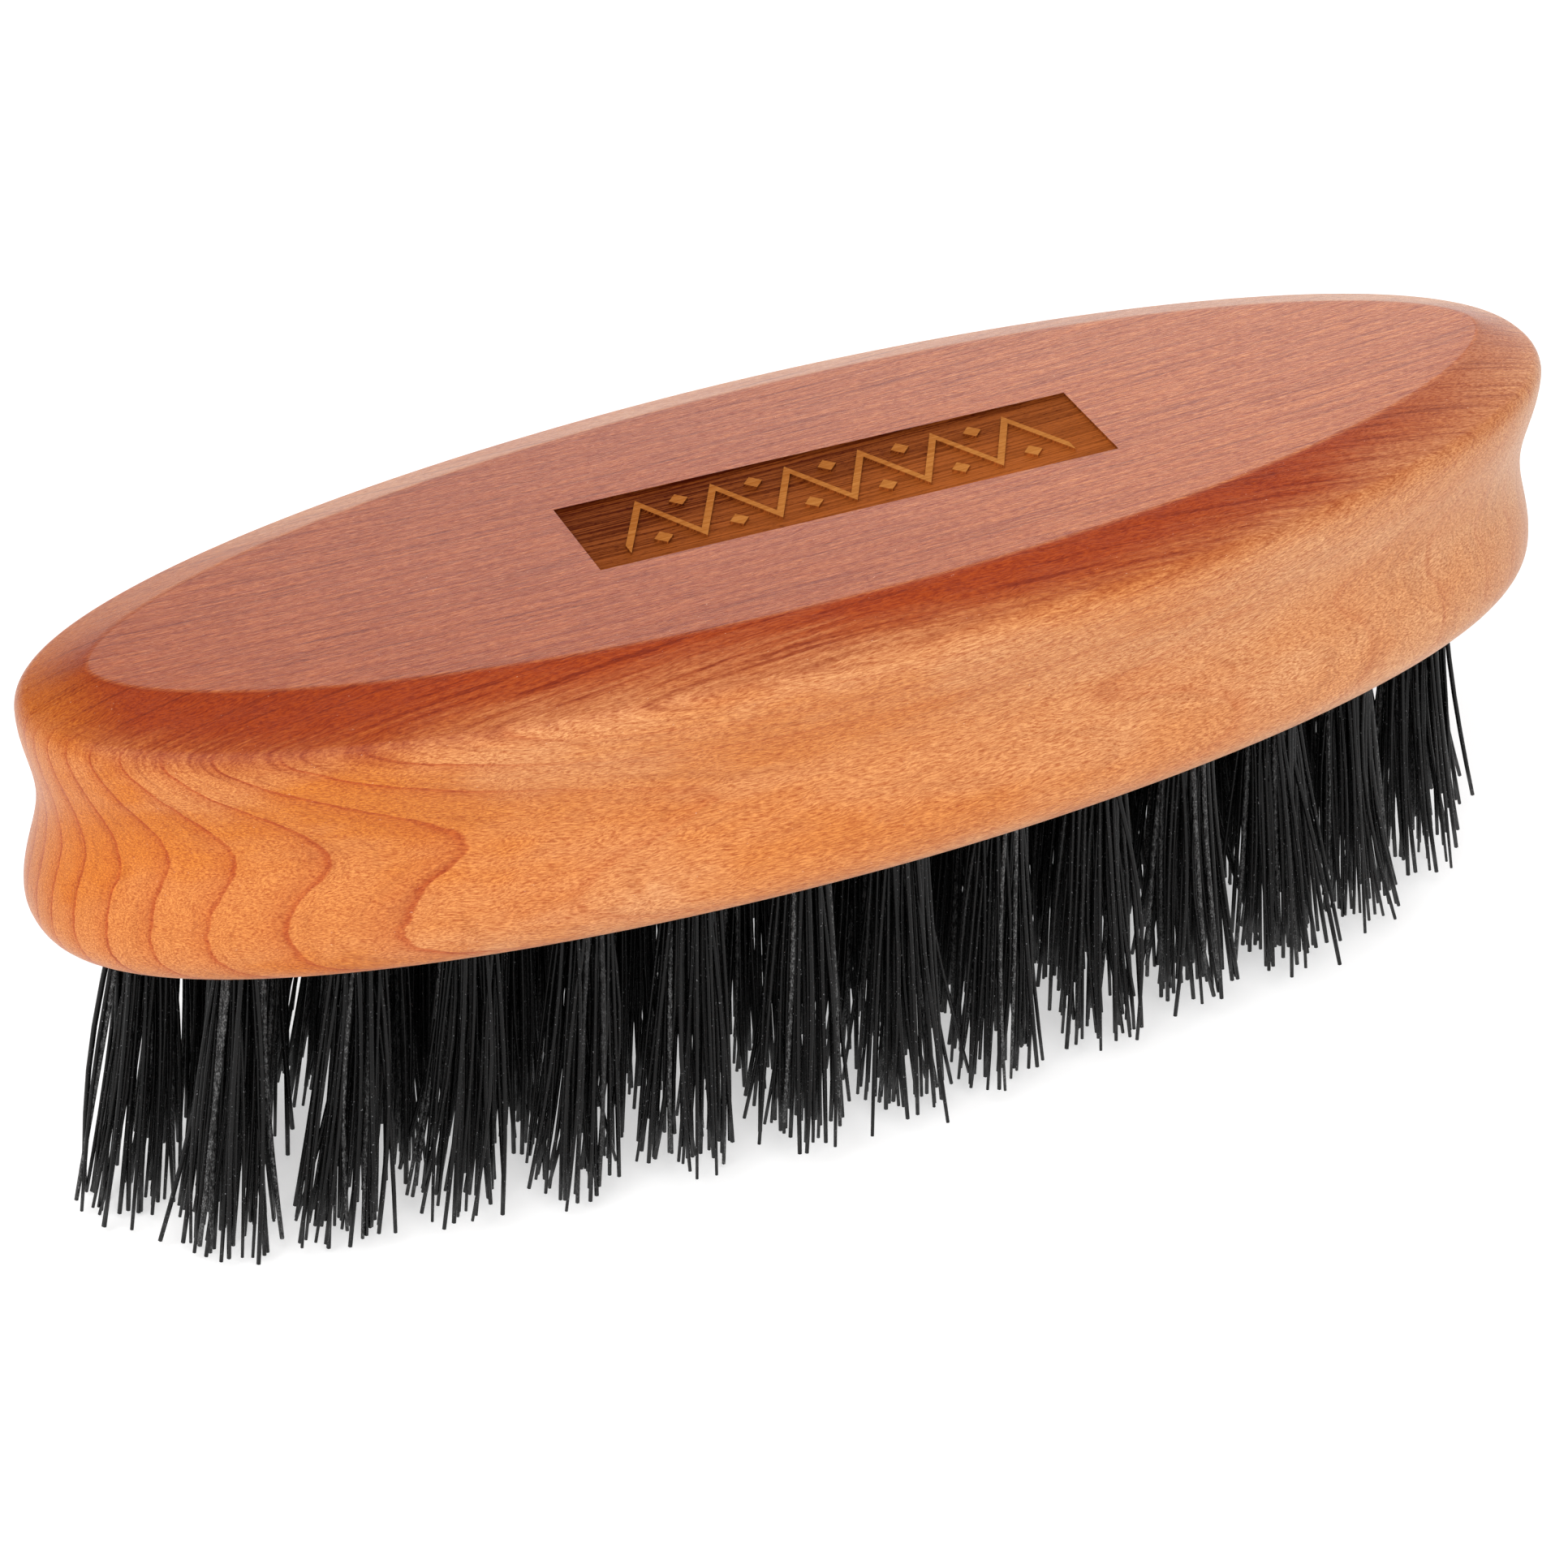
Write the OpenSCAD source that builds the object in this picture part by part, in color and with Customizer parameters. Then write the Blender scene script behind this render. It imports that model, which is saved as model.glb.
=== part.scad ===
// Palm-size beard brush: one oval wooden block with a finger groove round its side,
// tufts of stiff hair in blind holes, and a flat wire anchor across the foot of each hole.
// +X runs along the block, +Z points up out of its flat top, and Z = 0 is the plane of the bristle tips.

/* [Block] */
// Length over the widest part of the side
block_l = 110; // [104:0.5:118]
// Width over the widest part of the side
block_w = 35.6; // [34.6:0.2:42]
// Height of the wood from the drilled underside to the flat top
block_h = 19.4; // [18:0.2:24]
// Fullness of the plan outline along the length: 2 is an ellipse
outline_power = 1.92; // [1.8:0.02:2.2]
// Bluntness of the plan outline's ends: 0.5 is an ellipse, less is blunter
outline_root = 0.455; // [0.42:0.005:0.52]

/* [Flat top] */
// Width of the bevel between the flat top and the lip
bevel_w = 4.45; // [3:0.05:6]
// How far the bevel drops before the lip starts to round over
bevel_drop = 1.6; // [0.8:0.1:2.4]
// Height of the rounded lip under the bevel
lip_h = 1.5; // [0.8:0.1:2.4]
// Bluntness of the flat top's ends: more is more pointed
top_root = 0.57; // [0.5:0.01:0.7]

/* [Finger groove] */
// Depth of the groove under the lip
groove_lip_depth = 0.85; // [0.4:0.05:1.6]
// Depth of the groove above the widest part
groove_depth = 1.3; // [0.6:0.05:2.2]
// Height of the groove's deepest line above the underside
groove_z = 10.2; // [9:0.1:11.5]
// Height of the widest part of the side above the underside
bulge_z = 3; // [2:0.1:4]
// How far the bottom edge rounds in
bottom_round = 2.75; // [1.5:0.05:2.9]

/* [Burnt label] */
// Length of the burnt rectangle
label_l = 36.8; // [30:0.2:40]
// Width of the burnt rectangle
label_w = 7.8; // [6:0.1:9]
// Depth of the burn
label_depth = 0.2; // [0.1:0.05:0.5]
// How far the label sits off the middle, along the block
label_shift = 1.3; // [-3:0.1:3]
// How many degrees the label is turned off the block's axis
label_turn = -1.9; // [-3:0.1:3]
// Number of peaks in the zigzag left standing in the label
zigzag_peaks = 6; // [3:1:8]
// Width of the zigzag's line
zigzag_line = 0.95; // [0.6:0.05:1.2]

/* [Tufts] */
// Length of the bristles outside the wood
bristle_l = 23; // [14:0.5:28]
// Diameter of a drilled hole
hole_d = 4; // [3:0.1:4.2]
// Depth of a drilled hole
hole_depth = 8; // [6:0.5:9]
// Diameter that a tuft spreads to at its tips
tuft_tip_d = 5.6; // [4.4:0.1:5.7]
// Distance from the block's widest outline to the outer ring of holes
outer_inset = 5; // [5:0.1:5.4]
// How much further in the outer ring turns at each end of the block
end_step = 2.3; // [2:0.1:2.6]
// Distance between the rings of holes
ring_step = 6.2; // [6:0.1:6.4]

/* [Wire anchors] */
// Thickness of the flat wire
anchor_t = 0.3; // [0.2:0.05:0.4]
// How far each end of the wire bites into the wall of its hole
anchor_bite = 0.5; // [0.3:0.05:0.7]
// Height of the wire
anchor_h = 1.6; // [1:0.1:2]
// Thickness of the fold of hair between the wire and the foot of the hole
fold_t = 0.7; // [0.4:0.1:1]

/* [Hidden] */
OUTER_COUNT = 28;
INNER_COUNT = 20;
CENTRE_COUNT = 9;
CENTRE_PITCH = 7.4;
INNER_SHORTER = 1.4;      // the inner ring stops this much further in at each end
HOLE_CLEARANCE = 0.05;    // on the radius, round the foot of a tuft
SEGMENTS = 96;            // points round each level of the block
ARC_SAMPLES = 720;        // steps used to space the holes evenly along a ring
SIDE_LEVELS = 8;          // levels in each half of the finger groove
ROUND_LEVELS = 5;         // levels in each rounded edge
OVERCUT = 0.5;            // how far cutting shapes run past a face
PEAR_WOOD = [0.80, 0.47, 0.30];
BRISTLE_BLACK = [0.05, 0.05, 0.055];
WIRE_GREY = [0.72, 0.70, 0.66];

half_l = block_l / 2;
half_w = block_w / 2;
lip_inset = groove_depth - groove_lip_depth;
lip_top_z = block_h - bevel_drop;
lip_z = lip_top_z - lip_h;
lip_round = bevel_w * 0.22;
// Angle at which the lip's round meets the bevel without a crease
lip_end = atan((bevel_w - lip_round) * lip_h / (bevel_drop * lip_round));

function two_digits(i) = str(i < 10 ? "0" : "", i);
function ring_names(stem, count) = [for (i = [1:count]) str(stem, two_digits(i))];
OUTER_NAMES = ring_names("tuft_outer_", OUTER_COUNT);
INNER_NAMES = ring_names("tuft_inner_", INNER_COUNT);
CENTRE_NAMES = ring_names("tuft_centre_", CENTRE_COUNT);

// ---- plan outlines ----

// Point at angle t of the rounded oval y = b * (1 - |x / a| ^ power) ^ root
function oval_point(a, b, power, root, t) =
    [a * cos(t), b * sign(sin(t)) * pow(max(0, 1 - pow(abs(cos(t)), power)), root)];

function plan(inset, t) = oval_point(half_l - inset, half_w - inset, outline_power, outline_root, t);

function top_plan(t) =
    let (inset = lip_inset + bevel_w)
    oval_point(half_l - inset, half_w - inset, 2, top_root, t);

// ---- levels of the block, from the underside up, each a list of SEGMENTS points ----

function at_height(p, z) = [p[0], p[1], z];
function level(inset, z) = [for (i = [0:SEGMENTS - 1]) at_height(plan(inset, 360 * i / SEGMENTS), z)];

// A level on the bevel: f runs from 0 at the lip to 1 at the flat top
function bevel_level(f, z) =
    [for (i = [0:SEGMENTS - 1])
        let (t = 360 * i / SEGMENTS)
        at_height(plan(lip_inset, t) * (1 - f) + top_plan(t) * f, z)];

// Smooth step from 0 to 1
function ease(u) = (1 - cos(180 * u)) / 2;

bottom_levels = [for (i = [0:ROUND_LEVELS])
    let (u = 90 * i / ROUND_LEVELS)
    level(bottom_round * (1 - sin(u)), bulge_z * (1 - cos(u)))];
groove_low_levels = [for (i = [1:SIDE_LEVELS])
    let (u = i / SIDE_LEVELS)
    level(groove_depth * ease(u), bulge_z + (groove_z - bulge_z) * u)];
groove_high_levels = [for (i = [1:SIDE_LEVELS])
    let (u = i / SIDE_LEVELS)
    level(groove_depth - groove_lip_depth * ease(u), groove_z + (lip_z - groove_z) * u)];
lip_levels = [for (i = [1:ROUND_LEVELS])
    let (u = lip_end * i / ROUND_LEVELS)
    bevel_level(lip_round * (1 - cos(u)) / bevel_w, lip_z + lip_h * sin(u))];
top_levels = [bevel_level(1, block_h)];
block_levels = concat(bottom_levels, groove_low_levels, groove_high_levels, lip_levels, top_levels);

// Closed shell through a stack of levels, with flat ends
module stacked(levels) {
    count = len(levels);
    points = [for (ring = levels) each ring];
    walls = [for (k = [0:count - 2], i = [0:SEGMENTS - 1])
        let (j = (i + 1) % SEGMENTS, a = k * SEGMENTS, b = a + SEGMENTS)
        each [[a + i, b + i, b + j], [a + i, b + j, a + j]]];
    underside = [for (i = [0:SEGMENTS - 1]) i];
    top_face = [for (i = [SEGMENTS - 1:-1:0]) (count - 1) * SEGMENTS + i];
    polyhedron(points, concat([underside, top_face], walls));
}

// ---- where the tufts stand ----

function ring_point(a, b, t) = oval_point(a, b, outline_power, outline_root, t);

// Running length round a ring, sampled from the +X end
function running_length(pts) =
    [for (i = 0, s = 0; i < len(pts); s = s + (i + 1 < len(pts) ? norm(pts[i + 1] - pts[i]) : 0), i = i + 1) s];

// The points that share a ring out evenly, starting at the +X end
function even_ring(a, b, count) =
    let (
        pts = [for (i = [0:ARC_SAMPLES]) ring_point(a, b, 360 * i / ARC_SAMPLES)],
        run = running_length(pts),
        total = run[ARC_SAMPLES]
    )
    [for (k = [0:count - 1])
        let (
            at = total * k / count,
            hits = [for (i = [0:ARC_SAMPLES - 1]) if (run[i] <= at && run[i + 1] > at) i]
        )
        pts[hits[0]]];

outer_points = even_ring(half_l - outer_inset - end_step, half_w - outer_inset, OUTER_COUNT);
inner_inset = outer_inset + ring_step;
inner_points = even_ring(half_l - inner_inset - end_step - INNER_SHORTER, half_w - inner_inset, INNER_COUNT);
centre_points = [for (i = [0:CENTRE_COUNT - 1]) [(i - (CENTRE_COUNT - 1) / 2) * CENTRE_PITCH, 0]];
all_points = concat(outer_points, inner_points, centre_points);

// ---- pieces ----

module hole() {
    translate([0, 0, -OVERCUT]) cylinder(h = hole_depth + OVERCUT, d = hole_d, $fn = 48);
}

// Flat wire across a hole near its foot, driven in until it bites into both walls
module anchor() {
    span = hole_d + 2 * anchor_bite;
    translate([-anchor_t / 2, -span / 2, hole_depth - fold_t - anchor_h]) cube([anchor_t, span, anchor_h]);
}

module zigzag() {
    run = label_l * 0.86;
    rise = label_w * 0.30;
    steps = 2 * zigzag_peaks;
    edge = [for (i = [0:steps]) [run * (i / steps - 0.5), i % 2 == 0 ? -rise : rise]];
    lower = [for (i = [steps:-1:0]) [edge[i][0], edge[i][1] - zigzag_line]];
    translate([0, zigzag_line / 2]) polygon(concat(edge, lower));
}

module lozenges() {
    run = label_l * 0.86;
    reach = label_w * 0.085;
    for (i = [0:zigzag_peaks - 1])
        translate([run * ((i + 0.5) / zigzag_peaks - 0.5), -label_w * 0.24])
            polygon([[-reach, 0], [0, -reach], [reach, 0], [0, reach]]);
}

module label_recess() {
    translate([label_shift, 0, block_h - label_depth])
        rotate([0, 0, label_turn])
            linear_extrude(label_depth + OVERCUT)
                difference() {
                    square([label_l, label_w], center = true);
                    zigzag();
                    lozenges();
                }
}

module wood_block() {
    color(PEAR_WOOD)
        translate([0, 0, bristle_l])
            difference() {
                stacked(block_levels);
                for (p = all_points) translate(p) {
                    hole();
                    anchor();
                }
                label_recess();
            }
}

module anchor_staples() {
    color(WIRE_GREY)
        for (p = all_points) translate([p[0], p[1], bristle_l]) anchor();
}

// Foot of the tuft in its hole, folded over the anchor, and the brush that spreads below it
module tuft(p) {
    color(BRISTLE_BLACK)
        translate([p[0], p[1], bristle_l])
            difference() {
                union() {
                    cylinder(h = hole_depth, d = hole_d - 2 * HOLE_CLEARANCE, $fn = 48);
                    translate([0, 0, -bristle_l])
                        cylinder(h = bristle_l, d1 = tuft_tip_d, d2 = hole_d - 2 * HOLE_CLEARANCE, $fn = 48);
                }
                anchor();
            }
}

wood_block();
anchor_staples();
for (i = [0:OUTER_COUNT - 1]) tuft(outer_points[i]);
for (i = [0:INNER_COUNT - 1]) tuft(inner_points[i]);
for (i = [0:CENTRE_COUNT - 1]) tuft(centre_points[i]);
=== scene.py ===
"""Looks for the beard brush: an oval pear-wood block with tufts of stiff dark bristle."""

import math

import bmesh
import bpy
import numpy as np
from mathutils import Matrix, Vector


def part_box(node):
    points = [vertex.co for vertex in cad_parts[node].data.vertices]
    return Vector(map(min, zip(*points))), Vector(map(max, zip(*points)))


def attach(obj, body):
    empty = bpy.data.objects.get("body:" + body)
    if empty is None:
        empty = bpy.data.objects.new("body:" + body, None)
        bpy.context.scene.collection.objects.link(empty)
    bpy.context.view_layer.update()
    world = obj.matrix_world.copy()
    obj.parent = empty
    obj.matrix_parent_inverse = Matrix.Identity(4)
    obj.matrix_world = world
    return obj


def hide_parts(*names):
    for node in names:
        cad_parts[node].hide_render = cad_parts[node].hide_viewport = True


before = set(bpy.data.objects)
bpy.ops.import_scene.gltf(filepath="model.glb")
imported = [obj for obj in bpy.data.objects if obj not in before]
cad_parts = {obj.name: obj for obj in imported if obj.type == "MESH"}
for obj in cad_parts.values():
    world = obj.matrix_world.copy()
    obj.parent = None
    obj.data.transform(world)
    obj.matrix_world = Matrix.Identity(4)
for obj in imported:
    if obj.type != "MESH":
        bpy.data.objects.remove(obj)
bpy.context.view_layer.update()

MM = 0.001

# ---- camera, in millimetres and degrees ----
CAMERA_AZIMUTH = -27.07
CAMERA_ELEVATION = 35.26
CAMERA_ROLL = 0.83
CAMERA_DISTANCE = 324.6
CAMERA_TARGET = (-2.38, 0.0, 19.31)
CAMERA_LENS = 110.8
SENSOR = 36.0

# ---- wooden block, in millimetres: the same construction as the CAD block, in finer steps ----
OUTLINE_POWER = 1.92
OUTLINE_ROOT = 0.455
TOP_ROOT = 0.57
BEVEL_W = 4.45
BEVEL_DROP = 1.6
LIP_H = 1.5
LIP_ROUND = BEVEL_W * 0.22
GROOVE_LIP_DEPTH = 0.85
GROOVE_DEPTH = 1.3
GROOVE_Z = 10.2
BULGE_Z = 3.0
BOTTOM_ROUND = 2.75
LIP_INSET = GROOVE_DEPTH - GROOVE_LIP_DEPTH
EDGE_SOFTNESS = 0.35
BLOCK_SEGMENTS = 360
BOTTOM_STEPS = 12
GROOVE_STEPS = 20
LIP_STEPS = 13
# Shares of the bevel's slope at which it gets a level
BEVEL_SHARES = (0.04, 0.12, 0.25, 0.4, 0.55, 0.7, 0.85)
# Edges that turn more than this stay sharp
SHARP_ANGLE = math.radians(28)

# ---- burnt label, in millimetres ----
LABEL_L = 36.8
LABEL_W = 7.8
LABEL_DEPTH = 0.2
LABEL_SHIFT = 1.3
LABEL_TURN = math.radians(-1.9)
ZIGZAG_PEAKS = 6
ZIGZAG_LINE = 0.95
MOTIF_LENGTH = 0.86
MOTIF_RISE = 0.30
LOZENGE_REACH = 0.085
LOZENGE_DROP = 0.24

# ---- material slots of the block; slot 0 is the side ----
BURNT, TOASTED, FLAT_TOP = 1, 2, 3
# Slack, in millimetres, in telling which plane and rectangle a face lies in
NEAR = 0.01

# ---- tufts and their hairs, in millimetres and shares ----
HOLE_R = 2.0
HOLE_DEPTH = 8.0
HOLE_CHAMFER = 0.25
DRILL_SIDES = 32
DRILL_OVERCUT = 0.2
ANCHOR_T = 0.3
FOLD_T = 0.7
HAIRPINS = 25
HAIR_R = 0.18
# Thinnest and thickest hair, as shares of HAIR_R
HAIR_THICKNESS = (0.8, 1.2)
HAIR_R_MAX = HAIR_R * HAIR_THICKNESS[1]
HAIR_SIDES = 6
TIP_SPREAD = 1.75
END_LEAN = 2.2
FOOT_TRIES = 6
WANDER = 0.42
STRAY_SHARE = 0.05
STRAY_WANDER = 1.5
HAIR_BOW = 0.28
# Top of the usual tips; the short hairs end above it
HIGHEST_USUAL_TIP = 3.8
SHORT_SHARE = 0.06
LONG_SHARE = 0.04
# Shares of a hair's length at which its path has a point, and how its lean grows along them
HAIR_STEPS = (0.0, 0.1, 0.24, 0.4, 0.56, 0.72, 0.87, 1.0)
LEAN_POWER = 1.25
TIP_THINNING = 0.22
FIRST_SEED = 1000

# ---- wood colours, linear ----
# The flat top, bevel and side are one wood; their tints differ for how light falls on each: painted shade
# darkens the flat top and the bevel against the side, and the lit tints are painted light
FACET_TINT = (0.365, 0.074, 0.015)
FACET_LIT_TINT = (0.46, 0.114, 0.026)
# Painted shade: the bevel is tinted darker than the side and the flat top, to stand in for the shade on it
BEVEL_SHADE_TINT = (0.31, 0.038, 0.003)
BEVEL_DEEP_SHADE_TINT = (0.28, 0.032, 0.002)
SIDE_TINT = (0.59, 0.210, 0.062)
SIDE_LIT_TINT = (0.64, 0.280, 0.110)
SIDE_DEEP_TINT = (0.55, 0.147, 0.016)
LATE_WOOD = (0.78, 0.47, 0.32)
STREAK_TINT = (0.64, 0.48, 0.42)
FLECK_DARK = (0.71, 0.50, 0.40)
FLECK_LIGHT = (1.26, 1.55, 1.85)
# Painted highlight: colour of the tiny glints
PAINTED_GLINT_TINT = (0.85, 0.62, 0.45)
BURNT_DARK = (0.055, 0.005, 0.0004)
BURNT_PALE = (0.39, 0.098, 0.016)
TOASTED_DARK = (0.30, 0.085, 0.012)
TOASTED_PALE = (0.50, 0.19, 0.040)
WOOD_ROUGHNESS = 0.40
SIDE_GLOSS = 0.2
FLAT_TOP_GLOSS = 0.5

block_low, block_high = (Vector(c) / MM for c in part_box("wood_block"))
HALF_L = (block_high.x - block_low.x) / 2
HALF_W = (block_high.y - block_low.y) / 2
BASE_Z = block_low.z
BLOCK_H = block_high.z - block_low.z
LIP_TOP_Z = BLOCK_H - BEVEL_DROP
LIP_Z = LIP_TOP_Z - LIP_H
# Angle at which the lip's round runs into the bevel without a crease
LIP_END = math.atan((BEVEL_W - LIP_ROUND) * LIP_H / (BEVEL_DROP * LIP_ROUND))


# ---------------------------------------------------------------- camera

def make_camera():
    azimuth = math.radians(CAMERA_AZIMUTH)
    elevation = math.radians(CAMERA_ELEVATION)
    roll = math.radians(CAMERA_ROLL)
    back = Vector((
        math.sin(azimuth) * math.cos(elevation),
        -math.cos(azimuth) * math.cos(elevation),
        math.sin(elevation),
    ))
    level_right = Vector((math.cos(azimuth), math.sin(azimuth), 0))
    level_up = back.cross(level_right)
    right = level_right * math.cos(roll) + level_up * math.sin(roll)
    up = level_up * math.cos(roll) - level_right * math.sin(roll)
    turn = Matrix((right, up, back)).transposed().to_4x4()
    place = (Vector(CAMERA_TARGET) + back * CAMERA_DISTANCE) * MM
    data = bpy.data.cameras.new("camera")
    data.lens = CAMERA_LENS
    data.sensor_width = SENSOR
    data.clip_start = 0.01
    camera = bpy.data.objects.new("camera", data)
    camera.matrix_world = Matrix.Translation(place) @ turn
    bpy.context.scene.collection.objects.link(camera)
    bpy.context.scene.camera = camera


# ---------------------------------------------------------------- material helpers

class Nodes:
    """Short spelling for building one material's node tree."""

    def __init__(self, name):
        self.material = bpy.data.materials.new(name)
        self.material.use_nodes = True
        self.tree = self.material.node_tree
        self.tree.nodes.clear()
        self.shader = self.tree.nodes.new("ShaderNodeBsdfPrincipled")
        output = self.tree.nodes.new("ShaderNodeOutputMaterial")
        self.tree.links.new(self.shader.outputs[0], output.inputs["Surface"])

    def link(self, value, socket):
        if isinstance(value, bpy.types.NodeSocket):
            self.tree.links.new(value, socket)
        else:
            socket.default_value = value

    def position(self):
        """Object position in millimetres."""
        coords = self.tree.nodes.new("ShaderNodeTexCoord")
        scale = self.tree.nodes.new("ShaderNodeVectorMath")
        scale.operation = "SCALE"
        self.tree.links.new(coords.outputs["Object"], scale.inputs[0])
        scale.inputs["Scale"].default_value = 1 / MM
        return scale.outputs[0]

    def split(self, vector):
        node = self.tree.nodes.new("ShaderNodeSeparateXYZ")
        self.link(vector, node.inputs[0])
        return node.outputs

    def join(self, x, y, z):
        node = self.tree.nodes.new("ShaderNodeCombineXYZ")
        for value, socket in zip((x, y, z), node.inputs):
            self.link(value, socket)
        return node.outputs[0]

    def stretch(self, vector, factors):
        node = self.tree.nodes.new("ShaderNodeVectorMath")
        node.operation = "MULTIPLY"
        self.link(vector, node.inputs[0])
        node.inputs[1].default_value = factors
        return node.outputs[0]

    def math(self, operation, a, b=0.0, clamp=False):
        node = self.tree.nodes.new("ShaderNodeMath")
        node.operation = operation
        node.use_clamp = clamp
        self.link(a, node.inputs[0])
        self.link(b, node.inputs[1])
        return node.outputs[0]

    def noise(self, vector, detail=2.0, roughness=0.5):
        node = self.tree.nodes.new("ShaderNodeTexNoise")
        self.link(vector, node.inputs["Vector"])
        node.inputs["Scale"].default_value = 1.0
        node.inputs["Detail"].default_value = detail
        node.inputs["Roughness"].default_value = roughness
        return node.outputs["Fac"]

    def ease(self, value, low, high, out_low=0.0, out_high=1.0):
        """Smooth step: out_low below low, out_high above high."""
        node = self.tree.nodes.new("ShaderNodeMapRange")
        node.interpolation_type = "SMOOTHSTEP"
        self.link(value, node.inputs["Value"])
        node.inputs["From Min"].default_value = low
        node.inputs["From Max"].default_value = high
        node.inputs["To Min"].default_value = out_low
        node.inputs["To Max"].default_value = out_high
        return node.outputs["Result"]

    def ramp(self, value, low, high):
        """0 at low, 1 at high, straight between."""
        node = self.tree.nodes.new("ShaderNodeMapRange")
        self.link(value, node.inputs["Value"])
        node.inputs["From Min"].default_value = low
        node.inputs["From Max"].default_value = high
        return node.outputs["Result"]

    def mix(self, factor, a, b, blend="MIX"):
        node = self.tree.nodes.new("ShaderNodeMix")
        node.data_type = "RGBA"
        node.blend_type = blend
        self.link(factor, node.inputs[0])
        self.link(a if isinstance(a, bpy.types.NodeSocket) else (*a, 1), node.inputs[6])
        self.link(b if isinstance(b, bpy.types.NodeSocket) else (*b, 1), node.inputs[7])
        return node.outputs[2]

    def bump(self, height, strength, distance_mm):
        node = self.tree.nodes.new("ShaderNodeBump")
        node.inputs["Strength"].default_value = strength
        node.inputs["Distance"].default_value = distance_mm * MM
        self.link(height, node.inputs["Height"])
        return node.outputs[0]

    def normal(self):
        return self.tree.nodes.new("ShaderNodeNewGeometry").outputs["Normal"]

    def attribute(self, name):
        node = self.tree.nodes.new("ShaderNodeAttribute")
        node.attribute_name = name
        return node.outputs["Fac"]


# ---------------------------------------------------------------- wood materials

# Growth rings are level sets of a depth measured in from the front, in millimetres.
# They run along the block, bow outwards above RING_Z, more so near the front, and droop a little below it.
RING_Z = 30.3
RING_END_BOW = 0.001
RING_BOW = 0.0085
RING_BOW_GROWTH = 0.0026
RING_DROOP = 0.17
RING_PITCH = 1.6
RING_PHASE = 0.30
# Heights over which the painted shade on the bevel fades into the side
BEVEL_FADE = (39.3, 42.3)


def ring_depth(n, position):
    x, y, z = n.split(position)
    above = n.math("MAXIMUM", n.math("SUBTRACT", z, RING_Z), 0.0)
    below = n.math("MAXIMUM", n.math("SUBTRACT", RING_Z, z), 0.0)
    droop = n.math("SUBTRACT", n.math("SQRT", n.math("ADD", n.math("MULTIPLY", below, below), 1.0)), 1.0)
    above_2 = n.math("MULTIPLY", above, above)
    ends = n.math("MULTIPLY", n.math("MULTIPLY", x, x), RING_END_BOW)
    depth = n.math("SUBTRACT", n.math("SUBTRACT", ends, y), n.math("MULTIPLY", droop, RING_DROOP))
    depth = n.math("SUBTRACT", depth, n.math("MULTIPLY", above_2, RING_BOW))
    depth = n.math("DIVIDE", depth, n.math("SUBTRACT", 1.0, n.math("MULTIPLY", above_2, RING_BOW_GROWTH)))
    sway = n.noise(n.stretch(position, (0.022, 0.07, 0.07)), detail=2)
    ripple = n.noise(n.stretch(position, (0.16, 0.45, 0.45)), detail=3, roughness=0.6)
    depth = n.math("ADD", depth, n.math("MULTIPLY", sway, 1.1))
    return n.math("ADD", depth, n.math("MULTIPLY", ripple, 0.38))


def growth_rings(n, depth):
    """(thin line of late wood, soft darkening that leads up to it), each from 0 to 1."""
    phase = n.math("FRACT", n.math("ADD", n.math("DIVIDE", depth, RING_PITCH), RING_PHASE))
    line = n.math("MULTIPLY", n.ease(phase, 0.87, 0.95), n.ease(phase, 0.965, 1.0, 1.0, 0.0))
    shade = n.math("MULTIPLY", n.ease(phase, 0.25, 0.97), n.ease(phase, 0.97, 1.0, 1.0, 0.0))
    return line, n.math("POWER", shade, 2.0)


def grain(n, position, depth):
    """(streaks, fibre flecks, pores) of raw and burnt wood, each about 0 to 1."""
    x, y, z = n.split(position)
    layered = n.join(n.math("MULTIPLY", x, 0.09), n.math("MULTIPLY", depth, 4.2), n.math("MULTIPLY", z, 0.25))
    streaks = n.noise(layered, detail=3, roughness=0.62)
    wander = n.noise(n.stretch(position, (0.25, 0.5, 0.5)), detail=1)
    wander = n.math("MULTIPLY", wander, 0.75)
    wavy = n.join(x, n.math("ADD", y, wander), n.math("ADD", z, wander))
    flecks = n.noise(n.stretch(wavy, (1.7, 11.5, 11.5)), detail=3, roughness=0.7)
    pores = n.noise(n.stretch(wavy, (1.1, 15.0, 15.0)), detail=1)
    return streaks, flecks, pores


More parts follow.
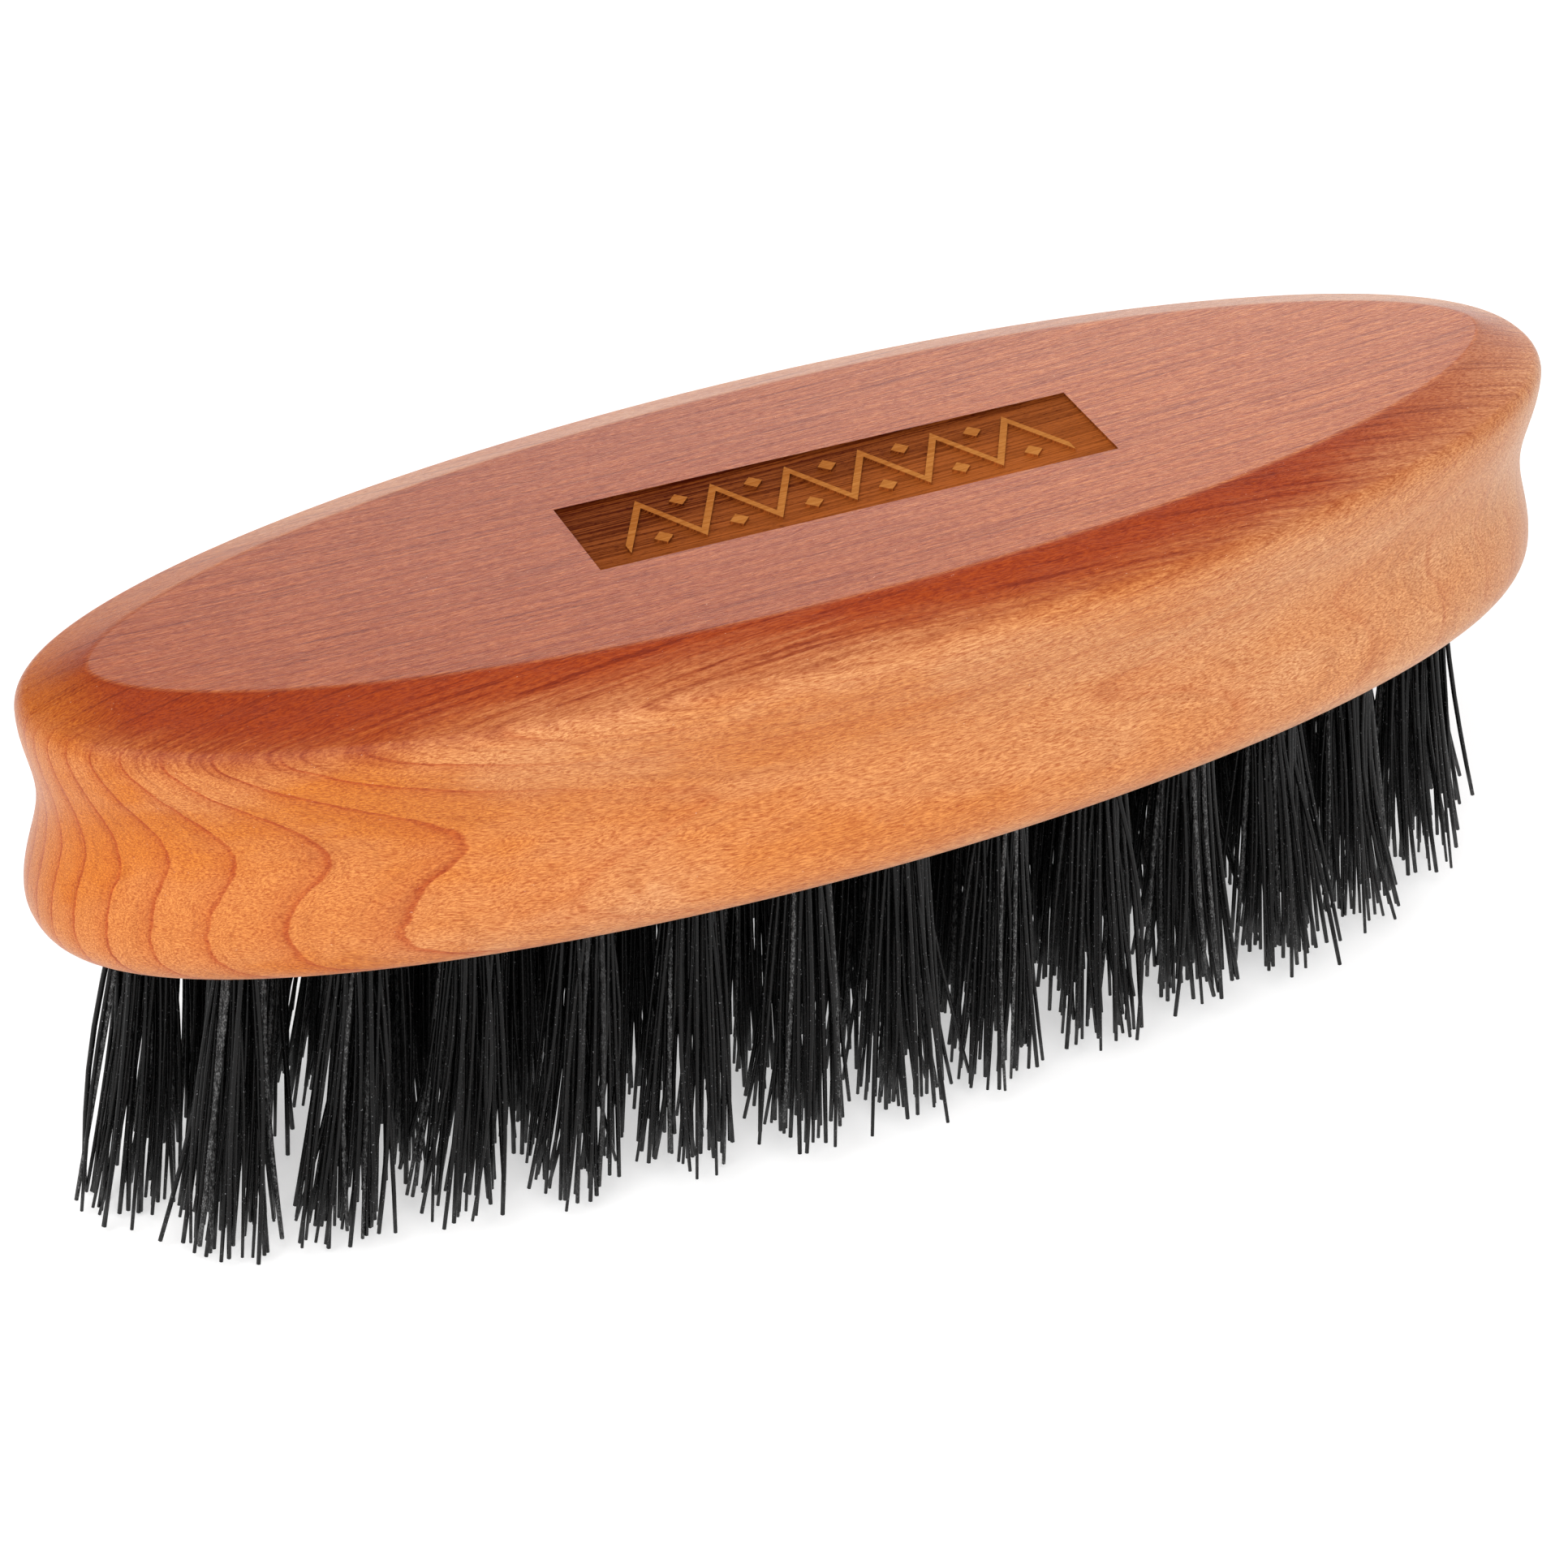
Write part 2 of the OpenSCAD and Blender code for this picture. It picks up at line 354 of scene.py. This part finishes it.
def surface_tint(n, position, streaks):
    """(body colour with painted light and shade, how far the point is on the flat top), over flat top, bevel
    and side, with painted shade on the bevel.
    """
    x, y, z = n.split(position)
    patches = n.noise(n.stretch(position, (0.045, 0.13, 0.16)), detail=3, roughness=0.55)
    blur = n.math("MULTIPLY", n.math("SUBTRACT", patches, 0.5), 2.4)
    blur = n.math("ADD", blur, n.math("MULTIPLY", n.math("SUBTRACT", streaks, 0.5), 2.6))
    blur = n.math("ADD", blur, n.ease(x, -26.0, -42.0, 0.0, 1.0))
    # Painted shade over the bevel, fading out down into the side
    bevel_shade = n.ease(n.math("ADD", z, blur), *BEVEL_FADE)
    on_facet = n.ease(n.split(n.normal())[2], 0.962, 0.99)
    left = n.ease(x, -22.0, -44.0)
    mottle = n.math("MULTIPLY", n.ease(patches, 0.40, 0.62, 0.0, 0.6), n.ease(x, -10.0, 35.0, 1.0, 0.5))
    deep = n.math("ADD", n.math("MULTIPLY", left, 0.55), mottle, clamp=True)
    # Painted light: the side is paler towards the right end, just under the lip and towards the bottom
    pale = n.math("MAXIMUM", n.ease(x, -5.0, 35.0), n.ease(n.math("ADD", z, blur), 35.0, 39.0, 0.0, 0.45))
    pale = n.math("MAXIMUM", pale, n.ease(n.math("ADD", z, blur), 28.5, 25.0, 0.0, 0.7))
    body = n.mix(pale, SIDE_TINT, SIDE_LIT_TINT)
    body = n.mix(deep, body, SIDE_DEEP_TINT)
    # The painted shade on the bevel is weaker at both ends and at the back, where more light falls on it
    shade_kept_at_ends = n.ease(x, -48.5, -54.0, 1.0, 0.40)
    shade_kept_at_ends = n.math("MULTIPLY", shade_kept_at_ends, n.ease(x, 30.0, 50.0, 1.0, 0.62))
    shade_kept_at_back = n.ease(y, 1.0, 7.0, 1.0, 0.35)
    bevel_shade = n.math("MULTIPLY", bevel_shade, n.math("MULTIPLY", shade_kept_at_ends, shade_kept_at_back))
    bevel = n.mix(n.ease(x, -28.0, -42.0), BEVEL_SHADE_TINT, BEVEL_DEEP_SHADE_TINT)
    body = n.mix(bevel_shade, body, bevel)
    # Painted light: the flat top is paler towards the right end
    facet = n.mix(n.ease(x, -15.0, 30.0), FACET_TINT, FACET_LIT_TINT)
    return n.mix(on_facet, body, facet), on_facet


def wood_material(name, gloss):
    """Raw pear wood: body colour with painted light and shade, rings, streaks, flecks, painted glints and
    pores.
    """
    n = Nodes(name)
    position = n.position()
    depth = ring_depth(n, position)
    line, shade = growth_rings(n, depth)
    streaks, flecks, pores = grain(n, position, depth)
    body, on_facet = surface_tint(n, position, streaks)
    x, _, z = n.split(position)
    fading = n.math("MULTIPLY", n.ease(x, -33.0, -24.0, 1.0, 0.30), n.ease(z, 39.5, 41.0, 1.0, 0.30))
    fading = n.math("MAXIMUM", fading, n.math("MULTIPLY", on_facet, 0.75))
    broken = n.ease(n.noise(n.stretch(position, (0.2, 0.9, 0.9)), detail=2), 0.35, 0.6, 0.60, 1.0)
    colour = n.mix(n.math("MULTIPLY", n.math("MULTIPLY", shade, fading), 0.45), body, LATE_WOOD, "MULTIPLY")
    lines = n.math("MULTIPLY", n.math("MULTIPLY", line, fading), n.math("MULTIPLY", broken, 0.85))
    colour = n.mix(lines, colour, LATE_WOOD, "MULTIPLY")
    on_top = n.ease(z, 40.3, 41.9, 0.28, 0.90)
    streak = n.math("MULTIPLY", n.ease(streaks, 0.52, 0.66), on_top)
    colour = n.mix(streak, colour, STREAK_TINT, "MULTIPLY")
    fibre = n.mix(n.ramp(flecks, 0.35, 0.65), FLECK_LIGHT, FLECK_DARK)
    colour = n.mix(1.0, colour, fibre, "MULTIPLY")
    hairlines = n.noise(n.stretch(position, (0.28, 9.0, 9.0)), detail=3, roughness=0.65)
    lined = n.mix(n.ramp(hairlines, 0.38, 0.64), FLECK_LIGHT, FLECK_DARK)
    colour = n.mix(n.math("MULTIPLY", on_facet, 0.62), colour, lined, "MULTIPLY")
    # Painted highlights: sparse tiny specular glints painted into the colour
    painted_glints = n.noise(n.stretch(position, (4.0, 9.0, 9.0)), detail=1)
    colour = n.mix(n.ease(painted_glints, 0.77, 0.82, 0.0, 0.45), colour, PAINTED_GLINT_TINT)
    colour = n.mix(n.ease(pores, 0.56, 0.74, 0.0, 0.65), colour, FLECK_DARK, "MULTIPLY")
    n.link(colour, n.shader.inputs["Base Color"])
    roughness = n.ease(flecks, 0.3, 0.7, WOOD_ROUGHNESS - 0.04, WOOD_ROUGHNESS + 0.08)
    n.link(roughness, n.shader.inputs["Roughness"])
    n.shader.inputs["Specular IOR Level"].default_value = gloss
    n.shader.inputs["Sheen Weight"].default_value = 0.25
    n.shader.inputs["Sheen Roughness"].default_value = 0.3
    height = n.math("SUBTRACT", n.math("MULTIPLY", flecks, -0.7), n.math("MULTIPLY", pores, 0.5))
    height = n.math("SUBTRACT", height, n.math("MULTIPLY", streaks, 0.3))
    n.link(n.bump(height, 0.7, 0.06), n.shader.inputs["Normal"])
    return n.material


def burnt_material(name, dark, pale):
    """Wood browned by a laser, darkest at the back left, with the grain as dark and pale streaks."""
    n = Nodes(name)
    position = n.position()
    depth = ring_depth(n, position)
    streaks, flecks, _ = grain(n, position, depth)
    x, y, _ = n.split(position)
    burn = n.ease(n.math("SUBTRACT", n.math("MULTIPLY", x, 0.012), n.math("MULTIPLY", y, 0.10)), -0.5, 0.5)
    tone = n.math("ADD", n.math("MULTIPLY", burn, 0.55), n.ease(streaks, 0.36, 0.64, 0.45, 0.0))
    tone = n.math("SUBTRACT", tone, n.ease(flecks, 0.50, 0.68, 0.0, 0.30), clamp=True)
    colour = n.mix(tone, dark, pale)
    n.link(colour, n.shader.inputs["Base Color"])
    n.link(n.ease(streaks, 0.3, 0.7, 0.65, 0.85), n.shader.inputs["Roughness"])
    n.shader.inputs["Specular IOR Level"].default_value = 0.03
    n.link(n.bump(n.math("ADD", streaks, flecks), 0.6, 0.08), n.shader.inputs["Normal"])
    return n.material


# ---------------------------------------------------------------- wooden block

def ease_step(u):
    """Smooth step from 0 to 1."""
    return (1 - math.cos(math.pi * u)) / 2


def oval(inset, power, root):
    """Plan outline of the block, drawn in by inset: BLOCK_SEGMENTS points in millimetres."""
    t = np.linspace(0, 2 * np.pi, BLOCK_SEGMENTS, endpoint=False)
    flat = np.clip(1 - np.abs(np.cos(t)) ** power, 0, None) ** root
    return np.c_[(HALF_L - inset) * np.cos(t), (HALF_W - inset) * np.sign(np.sin(t)) * flat]


def side_levels():
    """(inset, height) from the underside up to the lip."""
    levels = []
    for u in np.linspace(0, math.pi / 2, BOTTOM_STEPS):
        levels.append((BOTTOM_ROUND * (1 - math.sin(u)), BULGE_Z * (1 - math.cos(u))))
    for u in np.linspace(0, 1, GROOVE_STEPS + 1)[1:]:
        levels.append((GROOVE_DEPTH * ease_step(u), BULGE_Z + (GROOVE_Z - BULGE_Z) * u))
    for u in np.linspace(0, 1, GROOVE_STEPS + 1)[1:]:
        inset = GROOVE_DEPTH - GROOVE_LIP_DEPTH * ease_step(u)
        levels.append((inset, GROOVE_Z + (LIP_Z - GROOVE_Z) * u))
    return levels


def bevel_levels():
    """(share of the way from the lip to the flat top, height) over the lip and up the bevel."""
    levels = []
    for u in np.linspace(0, LIP_END, LIP_STEPS + 1)[1:]:
        levels.append((LIP_ROUND * (1 - math.cos(u)) / BEVEL_W, LIP_Z + LIP_H * math.sin(u)))
    start = levels[-1]
    for u in BEVEL_SHARES:
        levels.append((start[0] + (1 - start[0]) * u, start[1] + (BLOCK_H - start[1]) * u))
    return levels


def softened_edge():
    """The edge of the flat top, rounded over by sanding."""
    reach = EDGE_SOFTNESS / BEVEL_W
    start_share, start_z = bevel_levels()[LIP_STEPS - 1]
    slope = (BLOCK_H - start_z) / (1 - start_share)
    levels = []
    for u in (0.0, 0.25, 0.5, 0.75, 1.0):
        share = 1 - reach + 2 * reach * u
        rounded = BLOCK_H - slope * reach * (1 - u) ** 2
        levels.append((share, rounded))
    return levels


def block_shell():
    """Closed mesh of the block before drilling, in metres."""
    lip = oval(LIP_INSET, OUTLINE_POWER, OUTLINE_ROOT)
    top = oval(LIP_INSET + BEVEL_W, 2.0, TOP_ROOT)
    rings = []
    for inset, z in side_levels():
        rings.append(np.c_[oval(inset, OUTLINE_POWER, OUTLINE_ROOT), np.full(BLOCK_SEGMENTS, z)])
    for share, z in bevel_levels() + softened_edge():
        rings.append(np.c_[lip * (1 - share) + top * share, np.full(BLOCK_SEGMENTS, z)])
    points = np.concatenate(rings)
    points[:, 2] += BASE_Z
    count = len(rings)
    faces = [tuple(range(BLOCK_SEGMENTS))[::-1]]
    for k in range(count - 1):
        a, b = k * BLOCK_SEGMENTS, (k + 1) * BLOCK_SEGMENTS
        for i in range(BLOCK_SEGMENTS):
            j = (i + 1) % BLOCK_SEGMENTS
            faces.append((a + i, a + j, b + j, b + i))
    faces.append(tuple((count - 1) * BLOCK_SEGMENTS + i for i in range(BLOCK_SEGMENTS)))
    return new_mesh_object("pear_wood_block", points * MM, faces)


def new_mesh_object(name, points, faces):
    mesh = bpy.data.meshes.new(name)
    mesh.from_pydata([tuple(p) for p in points], [], faces)
    mesh.update()
    obj = bpy.data.objects.new(name, mesh)
    bpy.context.scene.collection.objects.link(obj)
    return obj


def prism(name, outline, low, high):
    """Upright prism of an outline in millimetres, counter-clockwise from above."""
    count = len(outline)
    points = [(x, y, low) for x, y in outline] + [(x, y, high) for x, y in outline]
    faces = [tuple(range(count))[::-1], tuple(range(count, 2 * count))]
    faces += [(i, (i + 1) % count, count + (i + 1) % count, count + i) for i in range(count)]
    return new_mesh_object(name, np.array(points) * MM, faces)


def cut(obj, tool):
    """Takes tool out of obj and removes it."""
    modifier = obj.modifiers.new("cut", "BOOLEAN")
    modifier.operation = "DIFFERENCE"
    modifier.solver = "MANIFOLD"
    modifier.object = tool
    bpy.context.view_layer.update()
    result = obj.evaluated_get(bpy.context.evaluated_depsgraph_get())
    mesh = bpy.data.meshes.new_from_object(result)
    obj.modifiers.clear()
    old = obj.data
    obj.data = mesh
    bpy.data.meshes.remove(old)
    bpy.data.meshes.remove(tool.data)


def join_meshes(name, parts):
    """One object of several meshes."""
    joined = bmesh.new()
    for part in parts:
        joined.from_mesh(part.data)
        bpy.data.meshes.remove(part.data)
    mesh = bpy.data.meshes.new(name)
    joined.to_mesh(mesh)
    joined.free()
    obj = bpy.data.objects.new(name, mesh)
    bpy.context.scene.collection.objects.link(obj)
    return obj


def drill(centre):
    """Cutting shape of one blind hole with a small chamfer at its mouth."""
    sides = DRILL_SIDES
    profile = [
        (HOLE_R + HOLE_CHAMFER + DRILL_OVERCUT, -DRILL_OVERCUT),
        (HOLE_R, HOLE_CHAMFER),
        (HOLE_R, HOLE_DEPTH),
    ]
    points = []
    for r, z in profile:
        for i in range(sides):
            a = 2 * math.pi * i / sides
            points.append((centre[0] + r * math.cos(a), centre[1] + r * math.sin(a), BASE_Z + z))
    faces = [tuple(range(sides))[::-1], tuple(range(2 * sides, 3 * sides))]
    for k in range(2):
        for i in range(sides):
            j = (i + 1) % sides
            faces.append((k * sides + i, k * sides + j, (k + 1) * sides + j, (k + 1) * sides + i))
    return new_mesh_object("drill", np.array(points) * MM, faces)


def on_label(x, y):
    """A point of the label's own frame, placed on the block."""
    c, s = math.cos(LABEL_TURN), math.sin(LABEL_TURN)
    return LABEL_SHIFT + x * c - y * s, x * s + y * c


def label_frame(x, y):
    """The reverse of on_label."""
    c, s = math.cos(LABEL_TURN), math.sin(LABEL_TURN)
    return (x - LABEL_SHIFT) * c + y * s, -(x - LABEL_SHIFT) * s + y * c


def motif_outlines():
    """Zigzag line, with a lozenge in each bay below it and above it."""
    run, rise = LABEL_L * MOTIF_LENGTH, LABEL_W * MOTIF_RISE
    steps = 2 * ZIGZAG_PEAKS
    heights = [(-rise if i % 2 == 0 else rise) + ZIGZAG_LINE / 2 for i in range(steps + 1)]
    edge = [(run * (i / steps - 0.5), height) for i, height in enumerate(heights)]
    lower = [(x, y - ZIGZAG_LINE) for x, y in edge]
    outlines = [lower + edge[::-1]]
    reach, drop = LABEL_W * LOZENGE_REACH, LABEL_W * LOZENGE_DROP
    below = [(run * ((i + 0.5) / ZIGZAG_PEAKS - 0.5), -drop) for i in range(ZIGZAG_PEAKS)]
    above = [(run * (i / ZIGZAG_PEAKS - 0.5), drop) for i in range(1, ZIGZAG_PEAKS)]
    for x, y in below + above:
        outlines.append([(x - reach, y), (x, y - reach), (x + reach, y), (x, y + reach)])
    return [[on_label(*p) for p in outline] for outline in outlines]


def label_cutter():
    """The label's rectangle with the motif taken out of it, so that the motif stays standing."""
    top = BASE_Z + BLOCK_H
    signs = ((-1, -1), (1, -1), (1, 1), (-1, 1))
    corners = [on_label(sx * LABEL_L / 2, sy * LABEL_W / 2) for sx, sy in signs]
    slab = prism("label", corners, top - LABEL_DEPTH, top + 1.0)
    motif = join_meshes("motif", [prism("motif_part", o, top - 1.0, top + 2.0) for o in motif_outlines()])
    cut(slab, motif)
    return slab


def paint_top(block):
    """Gives the label's burnt floor, the standing motif and the rest of the flat top their materials."""
    top = BASE_Z + BLOCK_H
    largest_motif = 0.5 * LABEL_L * LABEL_W * MM * MM
    for polygon in block.data.polygons:
        centre = polygon.center / MM
        x, y = label_frame(centre.x, centre.y)
        inside = abs(x) < LABEL_L / 2 + NEAR and abs(y) < LABEL_W / 2 + NEAR
        if inside and top - LABEL_DEPTH - NEAR < centre.z < top - NEAR:
            polygon.material_index = BURNT
        elif inside and polygon.area < largest_motif and centre.z > top - NEAR:
            polygon.material_index = TOASTED
        elif centre.z > top - NEAR:
            polygon.material_index = FLAT_TOP


def make_block(tuft_places):
    block = block_shell()
    cut(block, join_meshes("drills", [drill(p) for p in tuft_places]))
    cut(block, label_cutter())
    block.data.materials.clear()
    block.data.materials.append(wood_material("pear_wood", SIDE_GLOSS))
    block.data.materials.append(burnt_material("burnt_wood", BURNT_DARK, BURNT_PALE))
    block.data.materials.append(burnt_material("toasted_wood", TOASTED_DARK, TOASTED_PALE))
    block.data.materials.append(wood_material("pear_wood_flat_top", FLAT_TOP_GLOSS))
    paint_top(block)
    block.data.set_sharp_from_angle(angle=SHARP_ANGLE)
    for polygon in block.data.polygons:
        polygon.use_smooth = True
    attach(block, "root")
    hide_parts("wood_block")


# ---------------------------------------------------------------- bristles

def bristle_material():
    n = Nodes("bristle")
    position = n.position()
    tone = n.attribute("tone")
    scuffs = n.noise(n.stretch(position, (5.0, 5.0, 1.6)), detail=3, roughness=0.7)
    dust = n.noise(n.stretch(position, (9.0, 9.0, 7.0)), detail=2)
    frosty = n.math("MULTIPLY", n.ease(tone, 0.85, 0.97), n.ease(scuffs, 0.38, 0.58))
    specks = n.noise(n.stretch(position, (11.0, 11.0, 7.0)), detail=2)
    colour = n.mix(tone, (0.0010, 0.0010, 0.0011), (0.0060, 0.0058, 0.0058))
    frost = n.math("MULTIPLY", frosty, n.ease(specks, 0.45, 0.62, 0.12, 1.0))
    colour = n.mix(frost, colour, (0.13, 0.13, 0.13))
    colour = n.mix(n.ease(dust, 0.68, 0.76, 0.0, 0.6), colour, (0.36, 0.36, 0.37))
    n.link(colour, n.shader.inputs["Base Color"])
    roughness = n.math("ADD", n.ease(scuffs, 0.40, 0.75, 0.16, 0.42), n.math("MULTIPLY", frosty, 0.2))
    n.link(roughness, n.shader.inputs["Roughness"])
    n.shader.inputs["IOR"].default_value = 1.27
    n.link(n.bump(scuffs, 0.3, 0.02), n.shader.inputs["Normal"])
    return n.material


def tuft_centre(node):
    low, high = (np.array(c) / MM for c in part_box(node))
    return (low[:2] + high[:2]) / 2


def keep_clear(spot, side):
    """A foot moved off the anchor, to its side +1 or -1 along X, and in from the hole's wall."""
    room = HOLE_R - HAIR_R_MAX
    x = min(max(side * spot[0], ANCHOR_T / 2 + HAIR_R_MAX), room)
    reach = math.sqrt(room ** 2 - x ** 2)
    return np.array([side * x, min(max(spot[1], -reach), reach)])


def hair_feet(rng):
    """Feet of one tuft's hairs on the +X side of its anchor, in millimetres from the tuft's middle."""
    feet = []
    while len(feet) < HAIRPINS:
        best, best_gap = None, -1.0
        for _ in range(FOOT_TRIES):
            a = rng.uniform(-math.pi / 2, math.pi / 2)
            r = (HOLE_R - HAIR_R) * math.sqrt(rng.uniform(0, 1))
            spot = keep_clear((abs(r * math.cos(a)), r * math.sin(a)), 1)
            gap = min((np.linalg.norm(spot - f) for f in feet), default=9.0)
            if gap > best_gap:
                best, best_gap = spot, gap
        feet.append(best)
    return feet


def hair_leg(rng, foot, lean, trim):
    """One hair outside the hole, from its mouth down to the cut tip, usually trim or more above ground."""
    spread = foot * (TIP_SPREAD - 1) * rng.uniform(0.55, 1.45)
    wander = rng.normal(0, WANDER, 2)
    if rng.uniform() < STRAY_SHARE:
        wander += rng.normal(0, STRAY_WANDER, 2)
    reach = spread + wander + lean
    bow = rng.normal(0, HAIR_BOW, 2)
    tip_z = min(HIGHEST_USUAL_TIP, trim + abs(rng.normal(0, 0.7)))
    if rng.uniform() < SHORT_SHARE:
        tip_z += rng.uniform(0.5, 2.5)
    elif rng.uniform() < LONG_SHARE:
        tip_z = rng.uniform(0.03, trim)
    steps = np.array(HAIR_STEPS)
    x = foot[0] + reach[0] * steps ** LEAN_POWER + bow[0] * np.sin(np.pi * steps)
    y = foot[1] + reach[1] * steps ** LEAN_POWER + bow[1] * np.sin(np.pi * steps)
    z = BASE_Z + (tip_z - BASE_Z) * steps
    return np.c_[x, y, z]


def hairpin(rng, foot, lean, trim):
    """Path of one hair folded over the anchor: tip, up one side, over, and down to the other tip."""
    other = keep_clear(np.array([-foot[0], foot[1]]) + rng.normal(0, 0.1, 2), -1)
    fold_z = BASE_Z + HOLE_DEPTH - FOLD_T
    fold_h = (FOLD_T - HAIR_R_MAX) * rng.uniform(0.45, 1.0)
    first = hair_leg(rng, foot, lean, trim)[::-1]
    second = hair_leg(rng, other, lean, trim)
    middle = (foot + other) / 2
    shoulder_z = fold_z + fold_h * 0.8
    fold = [
        (*foot, fold_z),
        (*(foot * 0.7 + middle * 0.3), shoulder_z),
        (*middle, fold_z + fold_h),
        (*(other * 0.7 + middle * 0.3), shoulder_z),
        (*other, fold_z),
    ]
    return np.concatenate([first, np.array(fold), second])


def tube(path, radii):
    """Points and faces of a tube along a path, with flat cut ends."""
    tangent = np.gradient(path, axis=0)
    tangent /= np.linalg.norm(tangent, axis=1)[:, None]
    side = np.cross(tangent, np.array([0.0, 1.0, 0.0]))
    side /= np.linalg.norm(side, axis=1)[:, None]
    up = np.cross(side, tangent)
    angles = 2 * np.pi * np.arange(HAIR_SIDES) / HAIR_SIDES
    cosines, sines = np.cos(angles)[None, :, None], np.sin(angles)[None, :, None]
    circle = side[:, None] * cosines + up[:, None] * sines
    points = (path[:, None] + circle * radii[:, None, None]).reshape(-1, 3)
    i = np.arange(HAIR_SIDES)
    j = (i + 1) % HAIR_SIDES
    rows = np.arange(len(path) - 1)[:, None] * HAIR_SIDES
    corners = [rows + i, rows + j, rows + HAIR_SIDES + j, rows + HAIR_SIDES + i]
    walls = np.stack(corners, axis=-1).reshape(-1, 4)
    last = (len(path) - 1) * HAIR_SIDES
    caps = [tuple(i), tuple((last + i)[::-1])]
    return points, walls[:, ::-1], caps


def tuft_trim(x):
    """How far the tips of a tuft stop above the ground: least at the -X end, most at the +X end."""
    return float(np.interp(x, (-49, -42, -20, 25, 42, 50), (0.1, 1.0, 1.6, 1.7, 2.4, 3.2)))


def make_tuft(node, material, rng):
    """Replaces one CAD tuft by its hairpins, as one mesh."""
    centre = tuft_centre(node)
    outward = centre / np.array([HALF_L, HALF_W])
    size = np.linalg.norm(outward)
    lean = outward / max(size, 1e-6) * (0.75 if size > 0.6 else 0.2) + rng.normal(0, 0.25, 2)
    lean[0] += END_LEAN * outward[0]
    trim = 0.02 + tuft_trim(centre[0]) * rng.uniform(0.6, 1.3)
    points, faces, tones, offset = [], [], [], 0
    for foot in hair_feet(rng):
        path = hairpin(rng, foot, lean, trim)
        path[:, :2] += centre
        radius = HAIR_R * rng.uniform(*HAIR_THICKNESS)
        along = np.abs(np.linspace(-1, 1, len(path)))
        pts, walls, caps = tube(path, radius * (1 - TIP_THINNING * along ** 3))
        points.append(pts)
        faces.extend((walls + offset).tolist())
        faces.extend([tuple(int(k) + offset for k in cap) for cap in caps])
        tones.append(np.full(len(pts), rng.uniform(0, 1)))
        offset += len(pts)
    obj = new_mesh_object(node + "_bristles", np.concatenate(points) * MM, faces)
    tone = obj.data.attributes.new("tone", "FLOAT", "POINT")
    tone.data.foreach_set("value", np.concatenate(tones).astype(np.float32))
    obj.data.materials.append(material)
    for polygon in obj.data.polygons:
        polygon.use_smooth = len(polygon.vertices) == 4
    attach(obj, "root")
    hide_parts(node)


# ---------------------------------------------------------------- anchors

def anchor_material():
    n = Nodes("anchor_wire")
    position = n.position()
    drawn = n.noise(n.stretch(position, (20.0, 1.5, 20.0)), detail=2)
    stain = n.noise(n.stretch(position, (0.8, 0.8, 0.8)), detail=3)
    colour = n.mix(n.ease(drawn, 0.35, 0.65), (0.50, 0.48, 0.45), (0.66, 0.64, 0.60))
    colour = n.mix(n.ease(stain, 0.55, 0.75, 0.0, 0.5), colour, (0.30, 0.24, 0.18))
    n.link(colour, n.shader.inputs["Base Color"])
    n.shader.inputs["Metallic"].default_value = 1.0
    n.link(n.ease(drawn, 0.3, 0.7, 0.28, 0.45), n.shader.inputs["Roughness"])
    n.link(n.bump(drawn, 0.3, 0.02), n.shader.inputs["Normal"])
    return n.material


def finish_anchors():
    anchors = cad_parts["anchor_staples"]
    anchors.data.materials.clear()
    anchors.data.materials.append(anchor_material())


# ---------------------------------------------------------------- stage

# The floor is a softly lit white table
FLOOR_GLOW = 0.5


def make_floor():
    n = Nodes("studio_floor")
    n.shader.inputs["Base Color"].default_value = (0.62, 0.62, 0.62, 1)
    n.shader.inputs["Emission Color"].default_value = (1, 1, 1, 1)
    n.shader.inputs["Emission Strength"].default_value = FLOOR_GLOW
    n.shader.inputs["Roughness"].default_value = 0.75
    n.shader.inputs["Specular IOR Level"].default_value = 0.15
    reach = 6.0
    corners = [(-reach, -reach, 0), (reach, -reach, 0), (reach, reach, 0), (-reach, reach, 0)]
    floor = new_mesh_object("floor", corners, [(0, 1, 2, 3)])
    floor.data.materials.append(n.material)


def area_light(name, place, aim, size, watts):
    data = bpy.data.lights.new(name, "AREA")
    data.shape = "RECTANGLE"
    data.size, data.size_y = size
    data.energy = watts
    light = bpy.data.objects.new(name, data)
    direction = Vector(aim) - Vector(place)
    turn = direction.to_track_quat("-Z", "Y").to_matrix().to_4x4()
    light.matrix_world = Matrix.Translation(place) @ turn
    bpy.context.scene.collection.objects.link(light)


def make_lights():
    middle = (0.0, 0.0, 0.03)
    area_light("back_softbox", (0.56, 0.58, 0.36), middle, (1.1, 0.7), 4.6)
    area_light("front_key", (-0.40, -0.50, 0.72), middle, (1.3, 1.0), 14.0)
    world = bpy.data.worlds.new("studio")
    world.use_nodes = True
    background = world.node_tree.nodes["Background"]
    background.inputs["Color"].default_value = (1, 1, 1, 1)
    background.inputs["Strength"].default_value = 0.3
    bpy.context.scene.world = world
    bpy.context.scene.view_settings.view_transform = "Standard"


# ---------------------------------------------------------------- build

make_camera()
tuft_nodes = sorted(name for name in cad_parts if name.startswith("tuft_"))
make_block([tuft_centre(name) for name in tuft_nodes])
hair_material = bristle_material()
for index, name in enumerate(tuft_nodes):
    make_tuft(name, hair_material, np.random.default_rng(FIRST_SEED + index))
finish_anchors()
make_floor()
make_lights()
